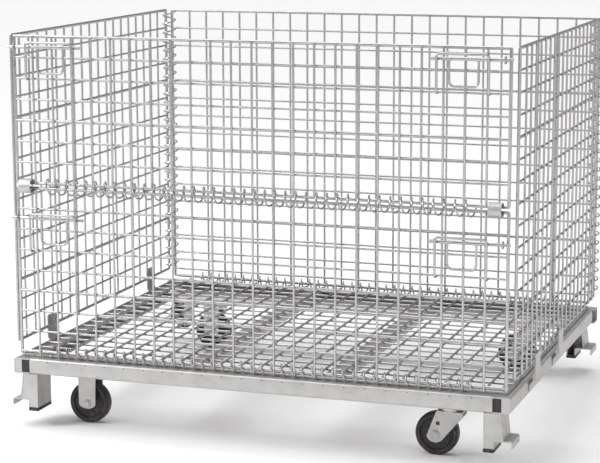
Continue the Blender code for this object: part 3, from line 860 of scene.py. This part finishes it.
class ContainerCasters(bpy.types.Operator):
    """Builds the wheels, axles, forks and swivel heads"""
    bl_idname = "container.casters"
    bl_label = "Casters"

    def execute(self, context):
        for end in ENDS:
            for side in SIDES:
                self.wheel(end + "_" + side + "_caster", side)
            self.rigid(end + "_left_caster")
            self.swivel(end + "_right_caster")
        return {"FINISHED"}

    def wheel(self, name, side):
        """A moulded wheel, and its axle bolt with a washer and a nut at each end."""
        low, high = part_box(name + "_wheel")
        centre = np.array((low + high) / 2)
        section = list(WHEEL_SECTION) + [(r, -h) for r, h in reversed(WHEEL_SECTION)]
        shell = turned(section, centre, (0, 1, 0), (1, 0, 0), 64)
        add_piece(name + "_tyre", [shell], "black_rubber", name + "_wheel", [name + "_wheel"])
        low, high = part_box(name + "_axle")
        shells = [disc((centre[0], low.y + 0.001, centre[2]), (0, 1, 0), (1, 0, 0), 0.005,
                       high.y - low.y - 0.002)]
        for face, out in ((low.y + AXLE_FACE, -1.0), (high.y - AXLE_FACE, 1.0)):
            root = np.array([centre[0], face, centre[2]])
            nut_root = root + np.array([0.0, out * 0.0010, 0.0])
            shells += [disc(root, (0, out, 0), (1, 0, 0), 0.0108, 0.0014),
                       hexagon(nut_root, (0, out, 0), (1, 0, 0), 0.0084, 0.0042)]
        body = "root" if side == "left" else name
        add_piece(name + "_axle_bolt", shells, "zinc_sheet", body, [name + "_axle"])

    def cheeks(self, outline, centre, y, bend):
        """Two rounded cheeks either side of the wheel."""
        return [flat_plate(outline, bend, along_y(centre, 0.0),
                           *sorted((y + sign * CHEEK_INNER, y + sign * CHEEK_OUTER)))
                for sign in (-1.0, 1.0)]

    def mount(self, low, high):
        """A caster's top plate, with four bolt ends and nuts under it."""
        top = high.z
        shells = [flat_plate(rectangle(low.x, low.y, high.x, high.y), 0.008, along_z(0.0, 0.0),
                             top - MOUNT_THICKNESS, top)]
        for x in (low.x + MOUNT_INSET, high.x - MOUNT_INSET):
            for y in (low.y + MOUNT_INSET, high.y - MOUNT_INSET):
                down = ((0, 0, -1), (1, 0, 0))
                shells += [disc((x, y, top - MOUNT_THICKNESS), *down, 0.0085, 0.0015),
                           hexagon((x, y, top - 0.0053), *down, 0.0065, 0.005),
                           disc((x, y, top - 0.0095), *down, 0.0035, 0.005)]
        return shells

    def rigid(self, name):
        """A fixed fork: a plate with two straight cheeks."""
        low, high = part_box(name + "_fork")
        x = (low.x + high.x) / 2
        y = (low.y + high.y) / 2
        tip = [(0.0215 * math.sin(a), 0.0500 - 0.0130 * math.cos(a))
               for a in np.radians(np.linspace(-80.0, 80.0, 9))]
        outline = [(-0.0225, high.z - 0.0035)] + tip + [(0.0225, high.z - 0.0035)]
        shells = self.mount(low, high) + self.cheeks(outline, x, y, 0.002)
        add_piece(name + "_fixed_fork", shells, "zinc_sheet", "root", [name + "_fork"],
                  SHEET_EDGE)

    def swivel(self, name):
        """A fixed plate, the swivel head below it and a raked fork with a dark slot."""
        low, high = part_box(name + "_plate")
        add_piece(name + "_mount_plate", self.mount(low, high), "zinc_sheet", "root",
                  [name + "_plate"], SHEET_EDGE)
        x = (low.x + high.x) / 2
        y = (low.y + high.y) / 2
        ring = turned(HEAD_SECTION, (x, y, low.z - 0.0004), (0, 0, 1), (1, 0, 0), 48)
        add_piece(name + "_swivel_head", [ring], "yellow_zinc", name)
        axle_low, axle_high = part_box(name + "_axle")
        trail = (axle_low.x + axle_high.x) / 2 - x
        tip = [(trail + 0.0210 * math.sin(a), 0.0510 - 0.0190 * math.cos(a))
               for a in np.radians(np.linspace(-75.0, 62.0, 11))]
        outline = [(-0.0300, CROWN_HIGH)] + tip + [(0.0300, 0.0940), (0.0310, CROWN_HIGH)]
        shells = self.cheeks(outline, x, y, 0.004)
        shells += [flat_plate(rectangle(-0.0300, -0.0220, 0.0300, 0.0220), 0.003, along_z(x, y),
                              CROWN_LOW, CROWN_HIGH),
                   hexagon((x, y, CROWN_LOW + 0.0002), (0, 0, -1), (1, 0, 0), 0.0080, 0.0035)]
        add_piece(name + "_raked_fork", shells, "zinc_sheet", name, [name + "_fork"], SHEET_EDGE)
        square = rectangle(trail + 0.0015, 0.0730, trail + 0.0100, 0.0815)
        slots = [flat_plate(square, 0.0008, along_y(x, 0.0),
                            *sorted((y + sign * (CHEEK_OUTER - 0.0001),
                                     y + sign * (CHEEK_OUTER + 0.0003))))
                 for sign in (-1.0, 1.0)]
        add_piece(name + "_fork_slots", slots, "black_rubber", name)


# Stage

def stage_material(name, colour, rough):
    """A plain matt surface with a barely visible mottle."""
    material, tree, shader = shader_tree(name)
    tone = ramp(tree, noise(tree, 3.0, 2.0), [
        (0.3, tinted(colour, 0.99)), (0.7, tinted(colour, 1.0))])
    tree.links.new(tone, shader.inputs["Base Color"])
    shader.inputs["Roughness"].default_value = rough
    return material


def add_light(name, place, aim, size, power):
    """A soft square light pointed at a place."""
    data = bpy.data.lights.new(name, "AREA")
    data.shape = "SQUARE"
    data.size = size
    data.energy = power
    light = bpy.data.objects.new(name, data)
    bpy.context.scene.collection.objects.link(light)
    place = np.asarray(place, float)
    direction = unit(np.asarray(aim, float) - place)
    light.location = place
    light.rotation_euler = (math.acos(-direction[2]), 0.0,
                            math.atan2(direction[1], direction[0]) - math.pi / 2)


FLOOR_AREA = (-30.0, -30.0, 30.0, 30.0)


class ContainerStage(bpy.types.Operator):
    """Sets the floor, the studio light and the camera"""
    bl_idname = "container.stage"
    bl_label = "Stage"

    def execute(self, context):
        self.floor(context)
        add_light("key_light", (-3.2, -2.6, 3.0), (0.0, 0.0, 0.4), 1.6, 130.0)
        add_light("fill_light", (3.6, -3.2, 2.2), (0.0, 0.0, 0.4), 1.4, 40.0)
        self.sky(context)
        self.world(context)
        self.camera(context)
        return {"FINISHED"}

    def floor(self, context):
        """A wide pale floor."""
        mesh = bpy.data.meshes.new("pale_floor")
        mesh.from_pydata([(x, y, 0.0) for x, y in rectangle(*FLOOR_AREA)], [], [(0, 1, 2, 3)])
        floor = bpy.data.objects.new("pale_floor", mesh)
        context.scene.collection.objects.link(floor)
        mesh.materials.append(stage_material("pale_floor", (0.93, 0.93, 0.93), 0.75))

    def sky(self, context):
        """A very soft light from above."""
        sky = bpy.data.lights.new("sky_light", "SUN")
        sky.energy = 2.1
        sky.angle = math.radians(60.0)
        lamp = bpy.data.objects.new("sky_light", sky)
        lamp.rotation_euler = (math.radians(-8.0), math.radians(-12.0), 0.0)
        context.scene.collection.objects.link(lamp)

    def world(self, context):
        """A dim glow all round, seen as plain white."""
        world = bpy.data.worlds.new("studio")
        world.use_nodes = True
        nodes = world.node_tree.nodes
        links = world.node_tree.links
        back = nodes["Background"]
        back.inputs["Color"].default_value = (1.0, 0.985, 0.98, 1.0)
        back.inputs["Strength"].default_value = 0.40
        seen = nodes.new("ShaderNodeBackground")
        seen.inputs["Color"].default_value = (1.0, 1.0, 1.0, 1.0)
        path = nodes.new("ShaderNodeLightPath")
        mix = nodes.new("ShaderNodeMixShader")
        links.new(path.outputs["Is Camera Ray"], mix.inputs[0])
        links.new(back.outputs[0], mix.inputs[1])
        links.new(seen.outputs[0], mix.inputs[2])
        links.new(mix.outputs[0], nodes["World Output"].inputs["Surface"])
        context.scene.world = world
        context.scene.view_settings.view_transform = "Standard"

    def camera(self, context):
        """A long lens from the front right, a little above the box."""
        data = bpy.data.cameras.new("camera")
        data.sensor_width = 36.0
        data.lens = 119.124
        data.clip_end = 200.0
        camera = bpy.data.objects.new("camera", data)
        camera.location = (1.525, -4.602, 1.280)
        camera.rotation_euler = (math.pi / 2 - 0.1755, 0.0023, 0.3296)
        context.scene.collection.objects.link(camera)
        context.scene.camera = camera


# Panel and registration

PIECES = (ContainerGates, ContainerWalls, ContainerCoils, ContainerBase, ContainerLatches,
          ContainerCasters, ContainerStage)


class ContainerPanel(bpy.types.Panel):
    """Lists the container's pieces and sizes"""
    bl_idname = "VIEW3D_PT_mesh_container"
    bl_label = "Mesh Container"
    bl_space_type = "VIEW_3D"
    bl_region_type = "UI"
    bl_category = "Mesh Container"

    def draw(self, context):
        scene = context.scene
        for settings in (scene.container_mesh, scene.container_base, scene.container_finish):
            for name in settings.bl_rna.properties.keys():
                if name not in ("rna_type", "name"):
                    self.layout.prop(settings, name)
        for operator in PIECES:
            self.layout.operator(operator.bl_idname)


SETTINGS = {"container_mesh": MeshSettings, "container_base": BaseSettings,
            "container_finish": FinishSettings}


def register():
    """Registers the classes and hangs the settings on the scene."""
    for kind in (*SETTINGS.values(), *PIECES, ContainerPanel):
        bpy.utils.register_class(kind)
    for name, kind in SETTINGS.items():
        setattr(bpy.types.Scene, name, bpy.props.PointerProperty(type=kind))


def unregister():
    """Takes the settings and classes away again."""
    for name in SETTINGS:
        delattr(bpy.types.Scene, name)
    for kind in (ContainerPanel, *reversed(PIECES), *SETTINGS.values()):
        bpy.utils.unregister_class(kind)


def main():
    """Builds every piece and the stage."""
    register()
    bpy.ops.container.gates()
    bpy.ops.container.walls()
    bpy.ops.container.coils()
    bpy.ops.container.base()
    bpy.ops.container.latches()
    bpy.ops.container.casters()
    bpy.ops.container.stage()


if __name__ == "__main__":
    main()
